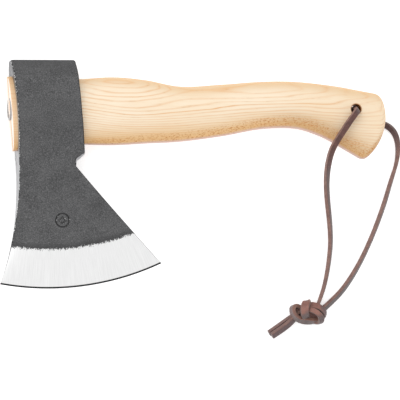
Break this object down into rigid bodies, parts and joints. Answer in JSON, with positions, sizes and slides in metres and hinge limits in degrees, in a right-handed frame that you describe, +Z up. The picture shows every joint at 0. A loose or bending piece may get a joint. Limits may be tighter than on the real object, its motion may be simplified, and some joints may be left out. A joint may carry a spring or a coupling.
{
  "type": "hatchet",
  "caption": "Short hatchet: flared forged blade with a ground bevel and a flat poll, on a curved wooden haft with a flared knob, and a knotted leather lace through the knob.",
  "frame": {"origin": "bottom centre of the box round the head and the haft, on the surface that the hatchet lies on", "axes": "+X along the haft from the head to the knob, +Y from the cutting edge to the poll, +Z up out of the side it lies on"},
  "size_m": [0.2569, 0.1737, 0.03],
  "materials": {
    "forged_steel": "black forge finish with a bright ground bevel",
    "haft_wood": "oiled pale hardwood",
    "wedge_wood": "sawn hardwood",
    "ring_steel": "plain steel",
    "lace_leather": "cut brown leather lace"
  },
  "bodies": {
    "hatchet": {"axe_head": "forged_steel", "haft": "haft_wood", "wooden_wedge": "wedge_wood", "ring_wedge": "ring_steel"},
    "lanyard": {"lanyard_front_strand": "lace_leather", "lanyard_rear_strand": "lace_leather", "lanyard_knot": "lace_leather", "lanyard_tails": "lace_leather"}
  },
  "joints": [
    {"name": "lanyard_swing", "type": "hinge", "parent": "hatchet", "child": "lanyard", "pos_m": [0.1028, 0.0408, 0.0135], "axis": [0, 0, 1], "range_deg": [-30, 45]}
  ]
}
